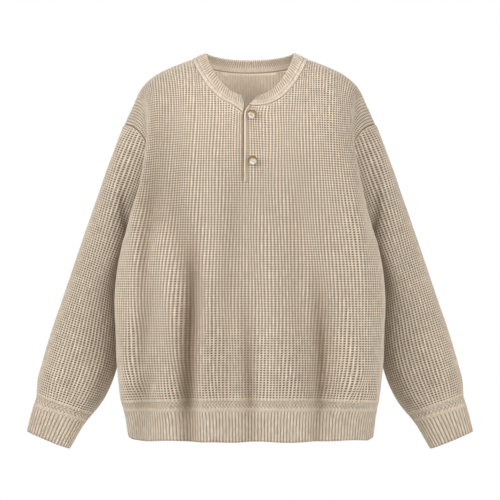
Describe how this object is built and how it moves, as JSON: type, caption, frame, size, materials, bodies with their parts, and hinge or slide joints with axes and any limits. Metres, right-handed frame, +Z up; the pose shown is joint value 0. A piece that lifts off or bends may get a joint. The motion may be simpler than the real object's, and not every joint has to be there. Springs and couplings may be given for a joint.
{
  "type": "henley sweater",
  "caption": "Beige waffle-knit henley sweater with dropped shoulders, a short placket, pearly buttons and ribbed neckband, cuffs and hem, filled out as worn.",
  "frame": {"origin": "midway between the two high neck points, level with them, where a wearer's shoulders carry the garment", "axes": "+X to the viewer's right across the shoulders, front faces -Y, +Z up"},
  "size_m": [0.8114, 0.2449, 0.719],
  "materials": {
    "body_front": "waffle knit in melange yarn",
    "body_back": "waffle knit in melange yarn",
    "sleeve_right": "waffle knit in melange yarn",
    "sleeve_left": "waffle knit in melange yarn",
    "cuff_right": "rib knit in melange yarn",
    "cuff_left": "rib knit in melange yarn",
    "hem": "rib knit in melange yarn",
    "neckband": "rib knit in melange yarn",
    "placket_edge": "rib knit in melange yarn",
    "placket_under": "rib knit in melange yarn",
    "button_top": "pearly, glossy",
    "button_bottom": "pearly, glossy"
  },
  "bodies": {
    "root": {"body_front": "body_front", "body_back": "body_back", "sleeve_right": "sleeve_right", "sleeve_left": "sleeve_left", "cuff_right": "cuff_right", "cuff_left": "cuff_left", "hem": "hem", "neckband": "neckband", "placket_edge": "placket_edge", "placket_under": "placket_under", "button_top": "button_top", "button_bottom": "button_bottom"}
  },
  "joints": []
}
